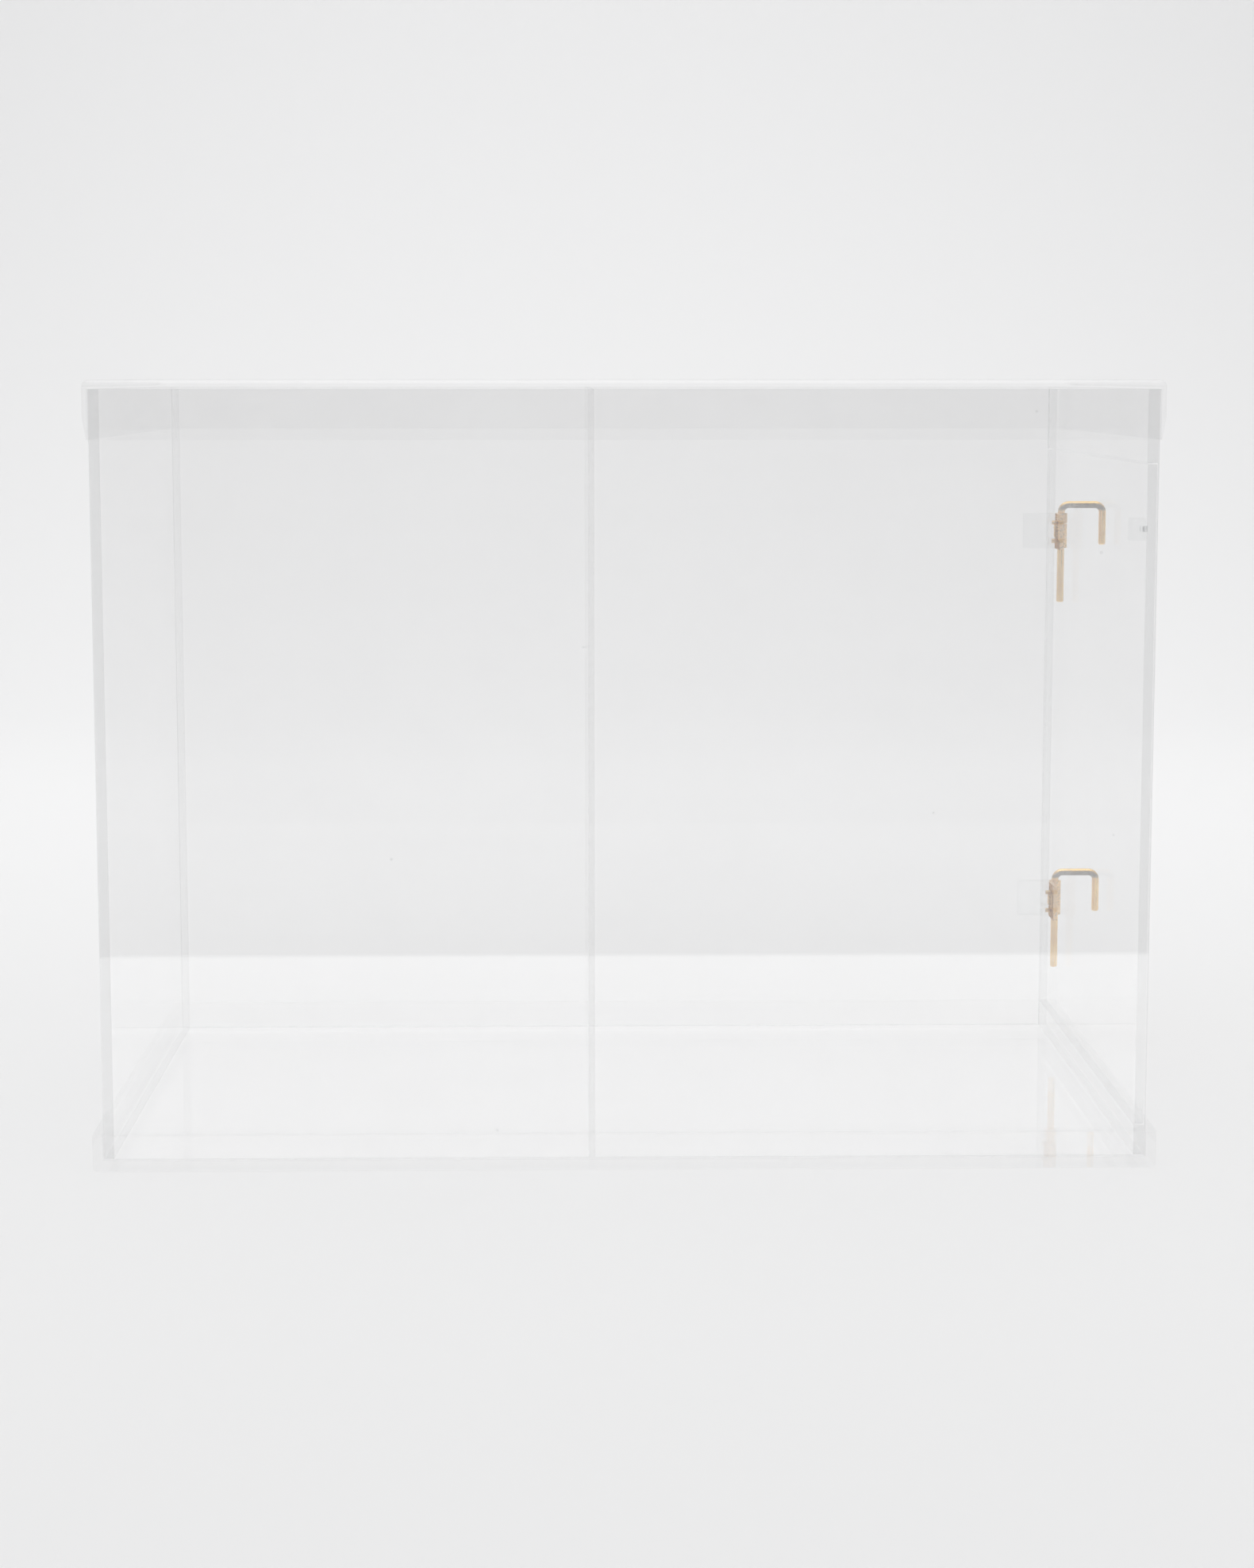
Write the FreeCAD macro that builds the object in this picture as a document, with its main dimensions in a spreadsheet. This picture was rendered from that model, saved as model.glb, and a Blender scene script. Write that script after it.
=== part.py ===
import FreeCAD, Part
import os

# Clear shoe display box: tray base, glued panels, a centre divider,
# a lift-off tray lid and a side door on two drop-pin hinges.
# Frame: +Z up, front face towards -Y, origin under the middle of the base.

os.makedirs("parts", exist_ok=True)
doc = FreeCAD.newDocument("shoe_box")

# ---------------------------------------------------------------- dimensions
sheet = doc.addObject("Spreadsheet::Sheet", "Dims")
DIMS = [
    ("wall_w", 339.0, "outer width over the side panels"),
    ("wall_d", 215.0, "outer depth over front and back panels"),
    ("sheet_th", 3.0, "panel thickness"),
    ("box_h", 254.6, "overall height"),
    ("lid_th", 3.0, "lid top thickness"),
    ("lid_skirt", 18.9, "lid height"),
    ("lid_side", 1.6, "lid skirt thickness"),
    ("lid_fit", 0.4, "gap between skirt and panels"),
    ("lid_round", 2.4, "lid top edge radius"),
    ("lid_bevel_up", 7.0, "bevel height at the lid's side skirts"),
    ("lid_bevel_in", 1.2, "bevel depth at the lid's side skirts"),
    ("base_th", 3.0, "base floor thickness"),
    ("base_h", 12.0, "base rim height"),
    ("base_side", 3.1, "base rim thickness"),
    ("base_fit", 0.3, "gap between rim and panels"),
    ("corner_r", 2.5, "upright corner radius of lid and base"),
    ("foot_r", 1.2, "lower edge radius of the base"),
    ("door_z0", 13.2, "door lower edge"),
    ("door_z1", 227.8, "door upper edge"),
    ("door_gap", 0.4, "gap round the door"),
    ("div_x", -11.0, "divider middle plane"),
    ("div_th", 2.0, "divider thickness"),
    ("axis_out", 2.7, "hinge axis behind the back face"),
    ("axis_side", 2.8, "hinge axis outside the door face"),
    ("pin_d", 2.7, "hinge pin diameter"),
    ("bore_d", 2.8, "knuckle bore"),
    ("knuckle_d", 4.6, "knuckle outer diameter"),
    ("knuckle_gap", 0.25, "gap between knuckles"),
    ("barrel_h", 13.4, "height of the three knuckles"),
    ("mid_h", 5.0, "middle knuckle height"),
    ("barrel_top_a", 203.2, "upper hinge, top of the knuckles"),
    ("barrel_top_b", 59.6, "lower hinge, top of the knuckles"),
    ("pin_above", 3.25, "arch middle line over the knuckles"),
    ("pin_bend", 2.9, "middle-line radius of the arch corners"),
    ("pin_span", 15.9, "distance between the pin's legs"),
    ("pin_long", 37.6, "arch middle line to the long leg's end"),
    ("pin_short", 15.4, "arch middle line to the short leg's end"),
    ("leaf_th", 1.5, "door leaf thickness"),
    ("leaf_w", 12.0, "door leaf width along the door"),
    ("screw_d", 1.6, "leaf screw shank diameter"),
    ("screw_head", 3.2, "leaf screw head diameter"),
    ("screw_head_h", 0.7, "leaf screw head height"),
    ("screw_len", 2.2, "screw length in the door"),
    ("block_w", 9.0, "hinge block width"),
    ("block_th", 4.0, "hinge block thickness"),
    ("ear_in", 1.0, "ear overlap inside the hinge block"),
    ("ear_th", 2.6, "thickness of the hinge block's ears"),
    ("mag_d", 2.0, "catch magnet diameter"),
    ("mag_len", 1.0, "catch magnet length"),
    ("mag_z", 207.0, "catch height"),
    ("mag_in", 5.0, "catch behind the front panel"),
    ("catch_w", 4.5, "catch block width"),
    ("catch_d", 7.0, "catch block depth"),
    ("catch_h", 7.0, "catch block height"),
]
for row, (alias, value, note) in enumerate(DIMS, start=1):
    sheet.set("A%d" % row, alias)
    sheet.set("B%d" % row, str(value))
    sheet.set("C%d" % row, note)
    sheet.setAlias("B%d" % row, alias)
doc.recompute()
D = {alias: float(sheet.get(alias)) for alias, _, _ in DIMS}


def ex(text):
    """Dimension names in an expression become references to the sheet."""
    out, word = "", ""
    for ch in text + " ":
        if ch.isalnum() or ch == "_":
            word += ch
        else:
            out += ("Dims." + word) if word in D else word
            word = ""
            out += ch
    return out.strip()


def place(obj, x="0", y="0", z="0"):
    for axis, text in (("x", x), ("y", y), ("z", z)):
        obj.setExpression(".Placement.Base." + axis, ex("(%s) * 1 mm" % text))
    return obj


def box(name, lx, ly, lz, x, y, z):
    b = doc.addObject("Part::Box", name)
    b.setExpression("Length", ex("(%s) * 1 mm" % lx))
    b.setExpression("Width", ex("(%s) * 1 mm" % ly))
    b.setExpression("Height", ex("(%s) * 1 mm" % lz))
    return place(b, x, y, z)


def cyl(name, dia, length, x, y, z, along="z"):
    c = doc.addObject("Part::Cylinder", name)
    if along == "x":
        c.Placement.Rotation = FreeCAD.Rotation(FreeCAD.Vector(0, 1, 0), 90)
    if along == "y":
        c.Placement.Rotation = FreeCAD.Rotation(FreeCAD.Vector(1, 0, 0), -90)
    c.setExpression("Radius", ex("(%s) / 2 * 1 mm" % dia))
    c.setExpression("Height", ex("(%s) * 1 mm" % length))
    return place(c, x, y, z)


def cut(name, base, *tools):
    cur = base
    for i, t in enumerate(tools):
        c = doc.addObject("Part::Cut", name if i == len(tools) - 1 else "%s_c%d" % (name, i))
        c.Base, c.Tool = cur, t
        cur = c
    return cur


def fuse(name, *parts):
    f = doc.addObject("Part::MultiFuse", name)
    f.Shapes = list(parts)
    return f


PARTS = []


def sub_part(label, obj):
    obj.Label = label
    PARTS.append((label, obj))
    return obj


# ------------------------------------------------------- moulded tray bodies
def rect(body, name, half_x, half_y, plane_z):
    """A centred rectangle on the body's XY plane, raised to plane_z."""
    sk = body.newObject("Sketcher::SketchObject", name)
    origin = [f for f in body.Origin.OriginFeatures if f.Role == "XY_Plane"][0]
    sk.AttachmentSupport = [(origin, "")]
    sk.MapMode = "FlatFace"
    sk.setExpression(".AttachmentOffset.Base.z", ex("(%s) * 1 mm" % plane_z))
    V = FreeCAD.Vector
    pts = [V(-50, -40, 0), V(50, -40, 0), V(50, 40, 0), V(-50, 40, 0)]
    for i in range(4):
        sk.addGeometry(Part.LineSegment(pts[i], pts[(i + 1) % 4]), False)
    import Sketcher
    for i in range(4):
        sk.addConstraint(Sketcher.Constraint("Coincident", i, 2, (i + 1) % 4, 1))
    sk.addConstraint(Sketcher.Constraint("Horizontal", 0))
    sk.addConstraint(Sketcher.Constraint("Vertical", 1))
    sk.addConstraint(Sketcher.Constraint("Horizontal", 2))
    sk.addConstraint(Sketcher.Constraint("Vertical", 3))
    cx = sk.addConstraint(Sketcher.Constraint("DistanceX", -1, 1, 1, 1, 50.0))
    cy = sk.addConstraint(Sketcher.Constraint("DistanceY", -1, 1, 2, 1, 40.0))
    cw = sk.addConstraint(Sketcher.Constraint("DistanceX", 0, 1, 0, 2, 100.0))
    ch = sk.addConstraint(Sketcher.Constraint("DistanceY", 1, 1, 1, 2, 80.0))
    sk.setExpression("Constraints[%d]" % cx, ex("(%s) * 1 mm" % half_x))
    sk.setExpression("Constraints[%d]" % cy, ex("(%s) * 1 mm" % half_y))
    sk.setExpression("Constraints[%d]" % cw, ex("(2 * (%s)) * 1 mm" % half_x))
    sk.setExpression("Constraints[%d]" % ch, ex("(2 * (%s)) * 1 mm" % half_y))
    sk.Visibility = False
    return sk


def near(a, b, tol=0.02):
    return abs(a - b) < tol


def edge_names(shape, pick):
    return ["Edge%d" % (i + 1) for i, e in enumerate(shape.Edges) if pick(e.BoundBox)]


# lid: a shallow tray turned over, its top flush and its skirt round the panels
lid_hx = "wall_w / 2 + lid_fit + lid_side"
lid_hy = "wall_d / 2 + lid_fit + lid_side"
lid = doc.addObject("PartDesign::Body", "LidBody")
pad = lid.newObject("PartDesign::Pad", "LidPad")
pad.Profile = rect(lid, "LidOutline", lid_hx, lid_hy, "box_h - lid_skirt")
pad.setExpression("Length", ex("lid_skirt * 1 mm"))
doc.recompute()
v0 = pad.Shape.Volume
pocket = lid.newObject("PartDesign::Pocket", "LidPocket")
pocket.Profile = rect(lid, "LidHollow", "wall_w / 2 + lid_fit", "wall_d / 2 + lid_fit", "box_h - lid_skirt")
pocket.setExpression("Length", ex("(lid_skirt - lid_th) * 1 mm"))
pocket.Reversed = True
doc.recompute()
if not pocket.Shape.Volume < v0 * 0.6:
    raise RuntimeError("the lid's hollow was not cut")
HX = D["wall_w"] / 2 + D["lid_fit"] + D["lid_side"]
HY = D["wall_d"] / 2 + D["lid_fit"] + D["lid_side"]
ZT, ZS = D["box_h"], D["box_h"] - D["lid_skirt"]
f1 = lid.newObject("PartDesign::Fillet", "LidUprights")
f1.Base = (pocket, edge_names(pocket.Shape, lambda b: near(b.ZLength, D["lid_skirt"]) and near(abs(b.Center.x), HX)))
f1.setExpression("Radius", ex("corner_r * 1 mm"))
doc.recompute()
f2 = lid.newObject("PartDesign::Fillet", "LidTopEdge")
f2.Base = (f1, edge_names(f1.Shape, lambda b: near(b.ZMin, ZT) and near(b.ZMax, ZT)))
f2.setExpression("Radius", ex("lid_round * 1 mm"))
doc.recompute()
c1 = lid.newObject("PartDesign::Chamfer", "LidSideBevel")
c1.Base = (f2, edge_names(f2.Shape, lambda b: near(b.ZMin, ZS) and near(b.ZMax, ZS)
                          and near(abs(b.Center.x), HX) and near(b.XLength, 0) and b.YLength > 50))
c1.ChamferType = "Two distances"
c1.Size = D["lid_bevel_in"]
c1.Size2 = D["lid_bevel_up"]
c1.setExpression("Size", ex("lid_bevel_in * 1 mm"))
c1.setExpression("Size2", ex("lid_bevel_up * 1 mm"))
doc.recompute()
# the long side of the bevel runs up the skirt, so swap the sizes if it went inwards
side = [f for f in c1.Shape.Faces if abs(f.normalAt(0, 0).x) > 0.5 and abs(f.normalAt(0, 0).z) > 0.05
        and f.BoundBox.ZMin < ZS + 0.1 and f.BoundBox.YLength > 50]
if not side or max(f.BoundBox.ZLength for f in side) < D["lid_bevel_up"] - 0.5:
    c1.FlipDirection = True
    doc.recompute()
lid.Tip = c1
sub_part("lid", lid)

# base: a shallow tray with a rim round the foot of the panels
base_hx = "wall_w / 2 + base_fit + base_side"
base_hy = "wall_d / 2 + base_fit + base_side"
base = doc.addObject("PartDesign::Body", "BaseBody")
bpad = base.newObject("PartDesign::Pad", "BasePad")
bpad.Profile = rect(base, "BaseOutline", base_hx, base_hy, "0")
bpad.setExpression("Length", ex("base_h * 1 mm"))
doc.recompute()
v0 = bpad.Shape.Volume
bpock = base.newObject("PartDesign::Pocket", "BasePocket")
bpock.Profile = rect(base, "BaseHollow", "wall_w / 2 + base_fit", "wall_d / 2 + base_fit", "base_h")
bpock.setExpression("Length", ex("(base_h - base_th) * 1 mm"))
doc.recompute()
if not bpock.Shape.Volume < v0 * 0.6:
    raise RuntimeError("the base's hollow was not cut")
BX = D["wall_w"] / 2 + D["base_fit"] + D["base_side"]
bf1 = base.newObject("PartDesign::Fillet", "BaseUprights")
bf1.Base = (bpock, edge_names(bpock.Shape, lambda b: near(b.ZLength, D["base_h"]) and near(abs(b.Center.x), BX)))
bf1.setExpression("Radius", ex("corner_r * 1 mm"))
doc.recompute()
bf2 = base.newObject("PartDesign::Fillet", "BaseFootEdge")
bf2.Base = (bf1, edge_names(bf1.Shape, lambda b: near(b.ZMin, 0) and near(b.ZMax, 0)))
bf2.setExpression("Radius", ex("foot_r * 1 mm"))
base.Tip = bf2
sub_part("base_tray", base)

# --------------------------------------------------------------- clear panels
PZ = "base_th"
PH = "box_h - lid_th - base_th"


sub_part("front_panel", box("front_panel_s", "wall_w", "sheet_th", PH, "-wall_w / 2", "-wall_d / 2", PZ))
sub_part("back_panel", box("back_panel_s", "wall_w - sheet_th - 0.3", "sheet_th", PH,
                           "-wall_w / 2", "wall_d / 2 - sheet_th", PZ))
sub_part("left_panel", box("left_panel_s", "sheet_th", "wall_d - 2 * sheet_th", PH,
                           "-wall_w / 2", "-wall_d / 2 + sheet_th", PZ))
sub_part("divider", box("divider_s", "div_th", "wall_d - 2 * sheet_th", PH,
                        "div_x - div_th / 2", "-wall_d / 2 + sheet_th", PZ))
# fixed strips under and over the door
sub_part("door_sill", box("door_sill_s", "sheet_th + 0.3", "wall_d - sheet_th", "door_z0 - door_gap - base_th",
                          "wall_w / 2 - sheet_th - 0.3", "-wall_d / 2 + sheet_th", "base_th"))
sub_part("door_header", box("door_header_s", "sheet_th + 0.3", "wall_d - sheet_th",
                            "box_h - lid_th - door_z1 - door_gap",
                            "wall_w / 2 - sheet_th - 0.3", "-wall_d / 2 + sheet_th", "door_z1 + door_gap"))

# ------------------------------------------------------------------ side door
AX = "wall_w / 2 + axis_side"
AY = "wall_d / 2 + axis_out"
door0 = box("door_s", "sheet_th", "wall_d - sheet_th - door_gap", "door_z1 - door_z0",
            "wall_w / 2 - sheet_th", "-wall_d / 2 + sheet_th + door_gap", "door_z0")
tools = [cyl("door_mag_hole", "mag_d", "mag_len", "wall_w / 2 - sheet_th",
             "-wall_d / 2 + sheet_th + mag_in", "mag_z", "x")]
SCREW_Y = "wall_d / 2 - leaf_w / 2 - 1"
for tag in ("a", "b"):
    for k, dz in enumerate(("3.2", "barrel_h - 3.2")):
        tools.append(cyl("door_screw_hole_%s%d" % (tag, k), "screw_d", "screw_len", "wall_w / 2 - screw_len",
                         SCREW_Y, "barrel_top_%s - (%s)" % (tag, dz), "x"))
sub_part("side_door", cut("door_cut", door0, *tools))
sub_part("door_magnet", cyl("door_magnet_s", "mag_d", "mag_len", "wall_w / 2 - sheet_th",
                            "-wall_d / 2 + sheet_th + mag_in", "mag_z", "x"))
# catch block behind the front panel with its own magnet
blk = box("catch_s", "catch_w", "catch_d", "catch_h", "wall_w / 2 - sheet_th - 0.3 - catch_w",
          "-wall_d / 2 + sheet_th", "mag_z - catch_h / 2")
blk_hole = cyl("catch_hole", "mag_d", "mag_len", "wall_w / 2 - sheet_th - 0.3 - mag_len",
               "-wall_d / 2 + sheet_th + mag_in", "mag_z", "x")
sub_part("catch_block", cut("catch_cut", blk, blk_hole))
sub_part("catch_magnet", cyl("catch_magnet_s", "mag_d", "mag_len", "wall_w / 2 - sheet_th - 0.3 - mag_len",
                             "-wall_d / 2 + sheet_th + mag_in", "mag_z", "x"))


# -------------------------------------------------------------------- hinges
def hinge(tag, word):
    top = "barrel_top_%s" % tag
    end_h = "(barrel_h - mid_h) / 2 - knuckle_gap"
    # clear block on the back panel, with two ears that carry the brass bushes
    right = "wall_w / 2 - sheet_th + 0.2"
    blk = box("hblock_s_" + tag, "block_w", "block_th", "barrel_h",
              "%s - block_w" % right, "wall_d / 2", "%s - barrel_h" % top)
    ears, seats, bushes = [], [], []
    for k, z in enumerate(("%s - (%s)" % (top, end_h), "%s - barrel_h" % top)):
        ears.append(box("ear_%s%d" % (tag, k), "(%s) - (%s - ear_in)" % (AX, right), "ear_th", end_h,
                        "%s - ear_in" % right, "(%s) - ear_th / 2" % AY, z))
        seats.append(cyl("seat_%s%d" % (tag, k), "knuckle_d", end_h, AX, AY, z))
        ring = cyl("bush_ring_%s%d" % (tag, k), "knuckle_d", end_h, AX, AY, z)
        bore = cyl("bush_bore_%s%d" % (tag, k), "bore_d", "%s + 2" % end_h, AX, AY, "%s - 1" % z)
        bushes.append(cut("bush_%s%d" % (tag, k), ring, bore))
    sub_part("hinge_block_" + word, cut("hblock_" + tag, fuse("hblock_f_" + tag, blk, *ears), *seats))
    comp = doc.addObject("Part::Compound", "bushes_" + tag)
    comp.Links = bushes
    sub_part("hinge_bushes_" + word, comp)
    # brass leaf on the door face, its middle knuckle round the pin
    plate = box("leaf_plate_" + tag, "leaf_th", "leaf_w", "barrel_h", "wall_w / 2",
                "wall_d / 2 - leaf_w - 0.4", "%s - barrel_h" % top)
    mid_z = "%s - barrel_h / 2 - mid_h / 2" % top
    arm = box("leaf_arm_" + tag, "leaf_th", "axis_out + 1.4", "mid_h", "wall_w / 2",
              "wall_d / 2 - 1.4", mid_z)
    ring = cyl("leaf_ring_" + tag, "knuckle_d", "mid_h", AX, AY, mid_z)
    bore = cyl("leaf_bore_" + tag, "bore_d", "mid_h + 2", AX, AY, "%s - 1" % mid_z)
    holes, screws = [bore], []
    for k, dz in enumerate(("3.2", "barrel_h - 3.2")):
        z = "%s - (%s)" % (top, dz)
        holes.append(cyl("leaf_hole_%s%d" % (tag, k), "screw_d", "leaf_th", "wall_w / 2", SCREW_Y, z, "x"))
        shank = cyl("screw_shank_%s%d" % (tag, k), "screw_d", "screw_len + leaf_th + 0.01",
                    "wall_w / 2 - screw_len", SCREW_Y, z, "x")
        head = cyl("screw_head_%s%d" % (tag, k), "screw_head", "screw_head_h", "wall_w / 2 + leaf_th",
                   SCREW_Y, z, "x")
        slot = box("screw_slot_%s%d" % (tag, k), "0.3", "screw_head + 1", "0.5",
                   "wall_w / 2 + leaf_th + screw_head_h - 0.3", "(%s) - screw_head / 2 - 0.5" % SCREW_Y,
                   "(%s) - 0.25" % z)
        screws.append(cut("screw_%s%d" % (tag, k), fuse("screw_f_%s%d" % (tag, k), shank, head), slot))
    sub_part("hinge_leaf_" + word, cut("leaf_" + tag, fuse("leaf_f_" + tag, plate, arm, ring), *holes))
    comp = doc.addObject("Part::Compound", "screws_" + tag)
    comp.Links = screws
    sub_part("leaf_screws_" + word, comp)


hinge("a", "upper")
hinge("b", "lower")


# hinge pins: one round rod bent over at the top like a walking cane
def pin_shape(top):
    V = FreeCAD.Vector
    x0 = D["wall_w"] / 2 + D["axis_side"]
    y0 = D["wall_d"] / 2 + D["axis_out"]
    za = top + D["pin_above"]
    r = D["pin_bend"]
    x1 = x0 + D["pin_span"]
    q = r * (1 - 0.70710678)
    edges = [
        Part.LineSegment(V(x0, y0, za - D["pin_long"]), V(x0, y0, za - r)).toShape(),
        Part.Arc(V(x0, y0, za - r), V(x0 + q, y0, za - q), V(x0 + r, y0, za)).toShape(),
        Part.LineSegment(V(x0 + r, y0, za), V(x1 - r, y0, za)).toShape(),
        Part.Arc(V(x1 - r, y0, za), V(x1 - q, y0, za - q), V(x1, y0, za - r)).toShape(),
        Part.LineSegment(V(x1, y0, za - r), V(x1, y0, za - D["pin_short"])).toShape(),
    ]
    path = Part.Wire(edges)
    circ = Part.Wire([Part.Circle(V(x0, y0, za - D["pin_long"]), V(0, 0, 1), D["pin_d"] / 2).toShape()])
    rod = path.makePipeShell([circ], True, True)
    length = sum(e.Length for e in edges)
    area = 3.141592653589793 * (D["pin_d"] / 2) ** 2
    if abs(rod.Volume - length * area) > 0.01 * length * area:
        raise RuntimeError("the pin's volume is wrong: %.2f" % rod.Volume)
    # rounded tips
    tips = [e for e in rod.Edges if e.Curve.TypeId == "Part::GeomCircle"
            and (near(e.BoundBox.ZMax, za - D["pin_long"]) or near(e.BoundBox.ZMax, za - D["pin_short"]))
            and near(e.BoundBox.ZLength, 0)]
    return rod.makeFillet(0.7, tips) if tips else rod


for tag, word in (("a", "upper"), ("b", "lower")):
    pf = doc.addObject("Part::Feature", "pin_" + tag)
    pf.Shape = pin_shape(D["barrel_top_" + tag])
    pf.Placement = FreeCAD.Placement()
    sub_part("hinge_pin_" + word, pf)

# ------------------------------------------------------------ check and write
doc.recompute()
bad = [o.Name for o in doc.Objects if "Invalid" in o.State or "Error" in o.State]
if bad:
    raise RuntimeError("failed objects: %s" % bad)
for label, obj in PARTS:
    s = obj.Shape
    if s.isNull() or not s.isValid() or not s.Solids:
        raise RuntimeError("bad shape: " + label)
    bb = s.BoundBox
    print("%-22s solids %d vol %.1f  x %.2f..%.2f y %.2f..%.2f z %.2f..%.2f" % (
        label, len(s.Solids), s.Volume, bb.XMin, bb.XMax, bb.YMin, bb.YMax, bb.ZMin, bb.ZMax))
for label, obj in PARTS:
    obj.Shape.exportStep("parts/%s.step" % label)
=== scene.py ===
import bpy, math
from mathutils import Vector, Matrix


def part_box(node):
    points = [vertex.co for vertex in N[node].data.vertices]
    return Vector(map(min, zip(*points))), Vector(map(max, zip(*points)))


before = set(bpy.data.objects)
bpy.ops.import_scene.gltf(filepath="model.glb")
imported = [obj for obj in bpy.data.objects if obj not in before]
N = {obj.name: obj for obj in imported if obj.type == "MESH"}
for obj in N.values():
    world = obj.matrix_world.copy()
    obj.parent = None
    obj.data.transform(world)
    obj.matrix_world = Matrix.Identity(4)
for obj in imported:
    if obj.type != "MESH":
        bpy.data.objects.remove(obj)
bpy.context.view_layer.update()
sc = bpy.context.scene
sc.view_settings.view_transform = "Standard"
sc.cycles.transparent_max_bounces = 64
sc.cycles.glossy_bounces = 12
sc.cycles.max_bounces = 16


# ------------------------------------------------------------------ materials
def new_mat(name):
    m = bpy.data.materials.new(name)
    m.use_nodes = True
    nt = m.node_tree
    nt.nodes.clear()
    return m, nt, nt.nodes, nt.links


def add(nodes, kind, **kw):
    n = nodes.new(kind)
    for k, v in kw.items():
        setattr(n, k, v)
    return n


def acrylic(name, axis=None, tint=(0.997, 0.997, 0.997, 1), graze=(0.968, 0.969, 0.969, 1),
            cut=(0.925, 0.927, 0.928, 1), haze=0.007, rough=0.003, streaks=(2.2, 2.2, 75.0), bump=0.006,
            face=0.037):
    """Clear cast sheet. Each face lets light straight through, reflects more the flatter it is seen,
    and takes up a little more light along the sheet and at the cut edges; faint wipe marks and dust
    lie over it. axis is the direction through the sheet, in the sheet's own coordinates."""
    m, nt, nodes, links = new_mat(name)
    out = add(nodes, "ShaderNodeOutputMaterial")
    tc = add(nodes, "ShaderNodeTexCoord")

    def math_node(op, a, b=None, c=None, clamp=False):
        n = add(nodes, "ShaderNodeMath", operation=op)
        n.use_clamp = clamp
        for i, v in enumerate((a, b, c)):
            if v is None:
                continue
            if isinstance(v, (int, float)):
                n.inputs[i].default_value = v
            else:
                links.new(v, n.inputs[i])
        return n.outputs["Value"]

    def mix_col(fac, a, b):
        n = add(nodes, "ShaderNodeMix", data_type="RGBA")
        links.new(fac, n.inputs[0])
        for k, v in ((6, a), (7, b)):
            if isinstance(v, tuple):
                n.inputs[k].default_value = v
            else:
                links.new(v, n.inputs[k])
        return n.outputs[2]

    # wipe marks: long soft bands
    mp = add(nodes, "ShaderNodeMapping")
    mp.inputs["Scale"].default_value = streaks
    links.new(tc.outputs["Object"], mp.inputs["Vector"])
    n1 = add(nodes, "ShaderNodeTexNoise")
    n1.inputs["Scale"].default_value = 1.0
    n1.inputs["Detail"].default_value = 3.0
    n1.inputs["Roughness"].default_value = 0.55
    links.new(mp.outputs["Vector"], n1.inputs["Vector"])
    # dust and finger marks: small cloudy patches
    n2 = add(nodes, "ShaderNodeTexNoise")
    n2.inputs["Scale"].default_value = 30.0
    n2.inputs["Detail"].default_value = 7.0
    links.new(tc.outputs["Object"], n2.inputs["Vector"])
    # single specks of lint
    n3 = add(nodes, "ShaderNodeTexVoronoi")
    n3.inputs["Scale"].default_value = 26.0
    links.new(tc.outputs["Object"], n3.inputs["Vector"])
    speck = math_node("LESS_THAN", n3.outputs["Distance"], 0.014)

    lw = add(nodes, "ShaderNodeLayerWeight")
    lw.inputs["Blend"].default_value = 0.5
    f = lw.outputs["Facing"]
    refl = math_node("MULTIPLY_ADD", math_node("POWER", f, 5.0), 0.55, face)
    along = math_node("POWER", f, 4.0)

    body = mix_col(along, tint, graze)
    if axis is not None:
        dot = add(nodes, "ShaderNodeVectorMath", operation="DOT_PRODUCT")
        links.new(tc.outputs["Normal"], dot.inputs[0])
        dot.inputs[1].default_value = axis
        edge = math_node("LESS_THAN", math_node("ABSOLUTE", dot.outputs["Value"]), 0.9)
        saw = math_node("MULTIPLY_ADD", n2.outputs["Fac"], 0.5, 0.75)
        body = mix_col(math_node("MULTIPLY", edge, saw, clamp=True), body, cut)
    else:
        edge = None

    tr = add(nodes, "ShaderNodeBsdfTransparent")
    links.new(body, tr.inputs["Color"])
    gl = add(nodes, "ShaderNodeBsdfGlossy")
    gl.inputs["Color"].default_value = (1, 1, 1, 1)
    rr = math_node("MULTIPLY_ADD", n1.outputs["Fac"], rough * 2.0, rough * 0.2)
    links.new(rr, gl.inputs["Roughness"])
    bp = add(nodes, "ShaderNodeBump")
    bp.inputs["Strength"].default_value = bump
    bp.inputs["Distance"].default_value = 0.0004
    links.new(n1.outputs["Fac"], bp.inputs["Height"])
    links.new(bp.outputs["Normal"], gl.inputs["Normal"])
    m1 = add(nodes, "ShaderNodeMixShader")
    links.new(refl, m1.inputs["Fac"])
    links.new(tr.outputs["BSDF"], m1.inputs[1])
    links.new(gl.outputs["BSDF"], m1.inputs[2])

    # the film on the surface scatters a little light, dust more, and specks most
    df = add(nodes, "ShaderNodeBsdfDiffuse")
    df.inputs["Color"].default_value = (0.86, 0.865, 0.87, 1)
    d1 = math_node("MULTIPLY", math_node("SUBTRACT", n2.outputs["Fac"], 0.42, clamp=True), haze * 4)
    d2 = math_node("MULTIPLY", math_node("SUBTRACT", n1.outputs["Fac"], 0.50, clamp=True), haze * 3)
    film = math_node("ADD", math_node("ADD", d1, d2), math_node("MULTIPLY", speck, 0.10))
    if edge is not None:
        film = math_node("ADD", film, math_node("MULTIPLY", edge, 0.08))
    m2 = add(nodes, "ShaderNodeMixShader")
    links.new(math_node("MINIMUM", film, 0.5), m2.inputs["Fac"])
    links.new(m1.outputs["Shader"], m2.inputs[1])
    links.new(df.outputs["BSDF"], m2.inputs[2])
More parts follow.
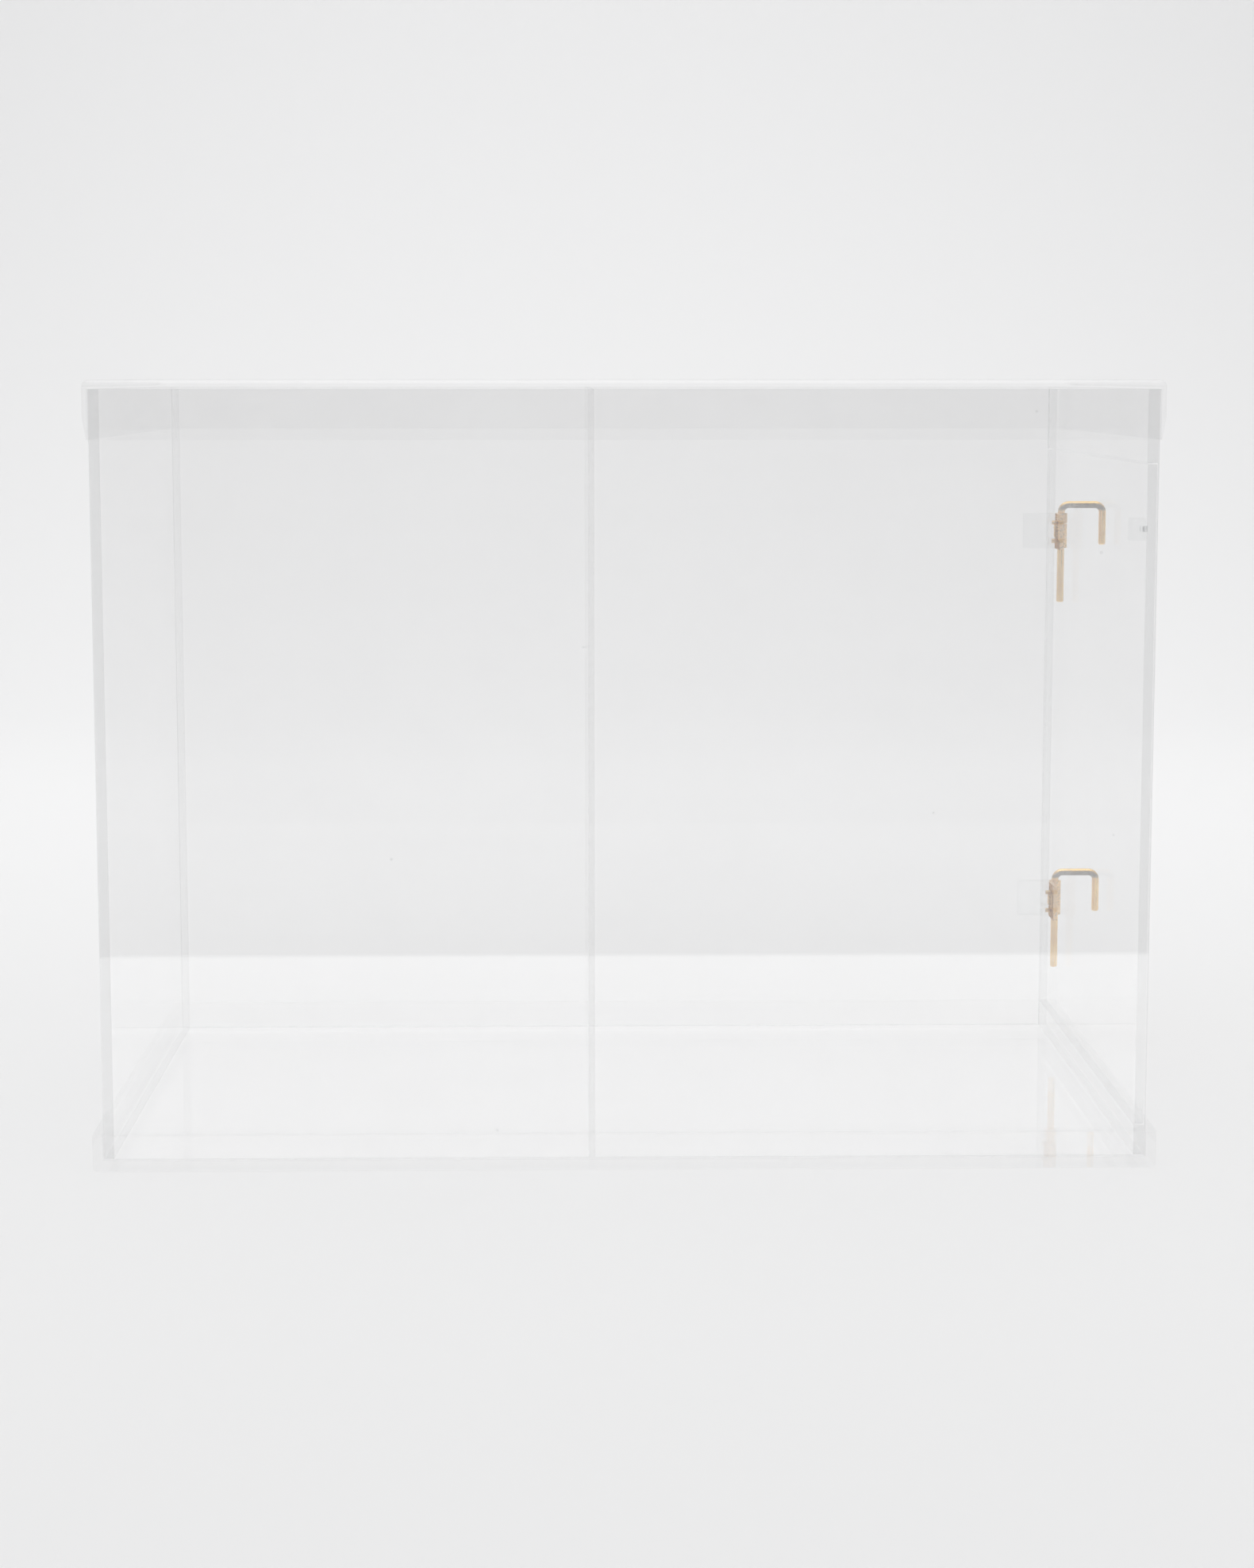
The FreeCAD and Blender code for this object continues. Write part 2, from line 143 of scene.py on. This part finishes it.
    # lamps reach the table through the sheet with almost no loss
    lp = add(nodes, "ShaderNodeLightPath")
    sh = add(nodes, "ShaderNodeBsdfTransparent")
    sh.inputs["Color"].default_value = (0.988, 0.988, 0.988, 1)
    m3 = add(nodes, "ShaderNodeMixShader")
    links.new(lp.outputs["Is Shadow Ray"], m3.inputs["Fac"])
    links.new(m2.outputs["Shader"], m3.inputs[1])
    links.new(sh.outputs["BSDF"], m3.inputs[2])
    links.new(m3.outputs["Shader"], out.inputs["Surface"])
    return m


def metal(name, color, dark, rough=0.16, scale=900.0, along=(1, 1, 0.05), metallic=1.0, bend_z=None):
    """Brass with fine draw lines and slightly browned hollows. bend_z is the height of a rod's arch,
    whose front and underside get painted shade, a near-black brown mixed into the colour."""
    m, nt, nodes, links = new_mat(name)
    out = add(nodes, "ShaderNodeOutputMaterial")
    bs = add(nodes, "ShaderNodeBsdfPrincipled")
    bs.inputs["Metallic"].default_value = metallic
    tc = add(nodes, "ShaderNodeTexCoord")
    mp = add(nodes, "ShaderNodeMapping")
    mp.inputs["Scale"].default_value = along
    links.new(tc.outputs["Object"], mp.inputs["Vector"])
    n1 = add(nodes, "ShaderNodeTexNoise")
    n1.inputs["Scale"].default_value = scale
    n1.inputs["Detail"].default_value = 4.0
    links.new(mp.outputs["Vector"], n1.inputs["Vector"])
    n2 = add(nodes, "ShaderNodeTexNoise")
    n2.inputs["Scale"].default_value = 160.0
    n2.inputs["Detail"].default_value = 5.0
    links.new(tc.outputs["Object"], n2.inputs["Vector"])
    ramp = add(nodes, "ShaderNodeValToRGB")
    ramp.color_ramp.elements[0].position = 0.3
    ramp.color_ramp.elements[0].color = dark
    ramp.color_ramp.elements[1].position = 0.62
    ramp.color_ramp.elements[1].color = color
    links.new(n2.outputs["Fac"], ramp.inputs["Fac"])
    if bend_z is None:
        links.new(ramp.outputs["Color"], bs.inputs["Base Color"])
    else:
        pos = add(nodes, "ShaderNodeSeparateXYZ")
        links.new(tc.outputs["Object"], pos.inputs["Vector"])
        off = add(nodes, "ShaderNodeMath", operation="SUBTRACT")
        links.new(pos.outputs["Z"], off.inputs[0])
        off.inputs[1].default_value = bend_z
        low = add(nodes, "ShaderNodeMapRange")  # 1 on the arch, 0 down the legs
        low.inputs["From Min"].default_value = -0.0026
        low.inputs["From Max"].default_value = -0.0016
        links.new(off.outputs["Value"], low.inputs["Value"])
        nrm = add(nodes, "ShaderNodeSeparateXYZ")
        links.new(tc.outputs["Normal"], nrm.inputs["Vector"])
        under = add(nodes, "ShaderNodeMapRange")  # 1 on the front and underside, where the shade is painted, 0 on top
        under.inputs["From Min"].default_value = 0.62
        under.inputs["From Max"].default_value = 0.20
        links.new(nrm.outputs["Z"], under.inputs["Value"])
        patch = add(nodes, "ShaderNodeMath", operation="MULTIPLY")
        links.new(low.outputs["Result"], patch.inputs[0])
        links.new(under.outputs["Result"], patch.inputs[1])
        # painted shade: the arch's front and underside are mixed towards a near-black brown
        painted_shade = add(nodes, "ShaderNodeMix", data_type="RGBA")
        links.new(patch.outputs["Value"], painted_shade.inputs[0])
        links.new(ramp.outputs["Color"], painted_shade.inputs[6])
        painted_shade.inputs[7].default_value = (0.085, 0.055, 0.028, 1)
        links.new(painted_shade.outputs[2], bs.inputs["Base Color"])
    r = add(nodes, "ShaderNodeMapRange")
    r.inputs["To Min"].default_value = rough * 0.7
    r.inputs["To Max"].default_value = rough * 1.5
    links.new(n1.outputs["Fac"], r.inputs["Value"])
    links.new(r.outputs["Result"], bs.inputs["Roughness"])
    bp = add(nodes, "ShaderNodeBump")
    bp.inputs["Strength"].default_value = 0.08
    bp.inputs["Distance"].default_value = 0.00005
    links.new(n1.outputs["Fac"], bp.inputs["Height"])
    links.new(bp.outputs["Normal"], bs.inputs["Normal"])
    links.new(bs.outputs["BSDF"], out.inputs["Surface"])
    return m


M_FRONT = acrylic("acrylic_sheet_y", axis=(0, 1, 0))
M_BACK = acrylic("acrylic_sheet_back", axis=(0, 1, 0), face=0.014, tint=(0.981, 0.981, 0.981, 1))
M_DIVIDER = acrylic("acrylic_divider", axis=(1, 0, 0), streaks=(2.2, 2.2, 60.0), cut=(0.987, 0.987, 0.987, 1))
M_SIDE = acrylic("acrylic_sheet_x", axis=(1, 0, 0), streaks=(2.2, 2.2, 60.0))
M_TRAY = acrylic("acrylic_moulded", haze=0.008, streaks=(6, 6, 20), bump=0.01, tint=(1.0, 1.0, 1.0, 1),
                 graze=(0.955, 0.955, 0.955, 1), face=0.026)
M_BLOCK = acrylic("acrylic_block", haze=0.01, streaks=(60, 60, 60), bump=0.02, tint=(0.994, 0.996, 0.996, 1),
                  graze=(0.95, 0.955, 0.955, 1))
PIN = dict(color=(0.98, 0.62, 0.17, 1), dark=(0.80, 0.44, 0.09, 1), rough=0.26, metallic=0.6)
# both rods get painted shade on the front and underside of their arches
M_PIN_UP = metal("brass_pin_upper", bend_z=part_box("hinge_pin_upper")[1][2] - 0.00135, **PIN)
M_PIN_LOW = metal("brass_pin_lower", bend_z=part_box("hinge_pin_lower")[1][2] - 0.00135, **PIN)
M_LEAF = metal("brass_leaf", (0.92, 0.56, 0.17, 1), (0.62, 0.33, 0.08, 1), rough=0.26, along=(1, 0.05, 1),
               metallic=0.6)
M_SCREW = metal("brass_screw", (0.90, 0.66, 0.32, 1), (0.70, 0.45, 0.18, 1), rough=0.12, along=(1, 1, 1))
M_MAG = metal("nickel_magnet", (0.62, 0.62, 0.63, 1), (0.45, 0.45, 0.46, 1), rough=0.2, along=(1, 1, 1))

MATS = {"lid": M_TRAY, "base_tray": M_TRAY, "catch_block": M_BLOCK,
        "front_panel": M_FRONT, "back_panel": M_BACK, "divider": M_DIVIDER}
for n in ("hinge_block_upper", "hinge_block_lower"):
    MATS[n] = M_BLOCK
for n in ("hinge_bushes_upper", "hinge_bushes_lower", "hinge_leaf_upper", "hinge_leaf_lower"):
    MATS[n] = M_LEAF
MATS["hinge_pin_upper"], MATS["hinge_pin_lower"] = M_PIN_UP, M_PIN_LOW
for n in ("leaf_screws_upper", "leaf_screws_lower"):
    MATS[n] = M_SCREW
for n in ("door_magnet", "catch_magnet"):
    MATS[n] = M_MAG

EASE = {"lid": 0.00025, "base_tray": 0.00025, "catch_block": 0.0004,
        "hinge_block_upper": 0.0004, "hinge_block_lower": 0.0004,
        "hinge_leaf_upper": 0.00015, "hinge_leaf_lower": 0.00015,
        "hinge_bushes_upper": 0.00012, "hinge_bushes_lower": 0.00012,
        "leaf_screws_upper": 0.0001, "leaf_screws_lower": 0.0001,
        "door_magnet": 0.0001, "catch_magnet": 0.0001}
for name, ob in N.items():
    mat = MATS.get(name, M_SIDE)
    me = ob.data
    me.materials.clear()
    me.materials.append(mat)
    w = EASE.get(name, 0.0003)
    if not name.startswith("hinge_pin"):
        b = ob.modifiers.new("eased_edges", "BEVEL")
        b.width = w
        b.segments = 2
        b.limit_method = "ANGLE"
        b.angle_limit = math.radians(40)
        b.harden_normals = False

# ---------------------------------------------------------------------- stage
def stage_mesh(name, verts, faces, mat, smooth=True):
    me = bpy.data.meshes.new(name)
    me.from_pydata(verts, [], faces)
    me.validate()
    ob = bpy.data.objects.new(name, me)
    bpy.context.scene.collection.objects.link(ob)
    me.materials.append(mat)
    for p in me.polygons:
        p.use_smooth = smooth
    return ob


def paper(name, level):
    m, nt, nodes, links = new_mat(name)
    out = add(nodes, "ShaderNodeOutputMaterial")
    d = add(nodes, "ShaderNodeBsdfDiffuse")
    d.inputs["Color"].default_value = level
    links.new(d.outputs["BSDF"], out.inputs["Surface"])
    return m


M_FLOOR = paper("studio_paper", (0.86, 0.86, 0.862, 1))
# sweep: table top with its front edge 0.37 m before the box, curving up behind
prof = [(-0.485, 0.0)]
prof += [(1.2, 0.0)]
R = 0.7
for i in range(1, 17):
    a = math.radians(90 * i / 16)
    prof.append((1.2 + R * math.sin(a), R - R * math.cos(a)))
prof.append((1.9, 3.2))
verts, faces = [], []
for y, z in prof:
    verts += [(-2.4, y, z), (2.4, y, z)]
for i in range(len(prof) - 1):
    faces.append((2 * i, 2 * i + 1, 2 * i + 3, 2 * i + 2))
sweep = stage_mesh("studio_sweep", verts, faces, M_FLOOR)
sweep.location.z = -0.0001

# ---------------------------------------------------------------------- light
world = bpy.data.worlds.new("studio")
bpy.context.scene.world = world
world.use_nodes = True
bg = world.node_tree.nodes["Background"]
bg.inputs["Strength"].default_value = 0.50
# the room is dimmer low down on the side the box faces
wn, wl = world.node_tree.nodes, world.node_tree.links
wt = wn.new("ShaderNodeTexCoord")
wx = wn.new("ShaderNodeSeparateXYZ")
wl.new(wt.outputs["Generated"], wx.inputs["Vector"])
front = wn.new("ShaderNodeMapRange")
front.inputs["From Min"].default_value = -0.75
front.inputs["From Max"].default_value = -0.15
wl.new(wx.outputs["Y"], front.inputs["Value"])
high = wn.new("ShaderNodeMapRange")
high.inputs["From Min"].default_value = 0.25
high.inputs["From Max"].default_value = 0.60
wl.new(wx.outputs["Z"], high.inputs["Value"])
far = wn.new("ShaderNodeMath")
far.operation = "MAXIMUM"
wl.new(front.outputs["Result"], far.inputs[0])
wl.new(high.outputs["Result"], far.inputs[1])
room = wn.new("ShaderNodeMix")
room.data_type = "RGBA"
room.inputs[6].default_value = (0.70, 0.70, 0.71, 1)
room.inputs[7].default_value = (1.04, 1.04, 1.04, 1)
wl.new(far.outputs["Value"], room.inputs[0])
wl.new(room.outputs[2], bg.inputs["Color"])


def area(name, loc, target, size, power, size_y=None, color=(1, 1, 1)):
    li = bpy.data.lights.new(name, "AREA")
    li.energy = power
    li.color = color
    li.shape = "RECTANGLE"
    li.size = size
    li.size_y = size_y or size
    ob = bpy.data.objects.new(name, li)
    ob.location = loc
    d = Vector(target) - Vector(loc)
    ob.rotation_euler = d.to_track_quat("-Z", "Y").to_euler()
    bpy.context.scene.collection.objects.link(ob)
    return ob


area("top_soft", (0.0, 0.05, 2.3), (0, 0.05, 0), 2.6, 34, 2.3)
area("back_wash", (0.0, 0.55, 1.25), (0, 1.9, 0.80), 1.3, 3.9, 0.5)
# a strip low in front, seen only as a sheen in the polished front
strip = area("front_strip", (0.0, -0.2975, 0.0006), (0.0, -0.2975, 1.0), 1.5, 1.75, 0.375)
strip.visible_camera = False
strip.visible_diffuse = False
strip.visible_transmission = False
sheen = bpy.data.collections.new("front_strip_receivers")
sheen.objects.link(N["front_panel"])
strip.light_linking.receiver_collection = sheen

# --------------------------------------------------------------------- camera
cam = bpy.data.cameras.new("camera")
cam.sensor_fit = "AUTO"
cam.sensor_width = 36.0
cam.lens = 4000.0 / 1975.0 * 36.0
cam.clip_start = 0.01
cam.clip_end = 50
cam.dof.use_dof = False
co = bpy.data.objects.new("camera", cam)
bpy.context.scene.collection.objects.link(co)
yaw = math.radians(-1.05)
pitch = math.radians(-7.315)
co.location = (-0.0181, -1.1171, 0.2556)
co.rotation_euler = (math.radians(90) + pitch, 0, yaw)
bpy.context.scene.camera = co
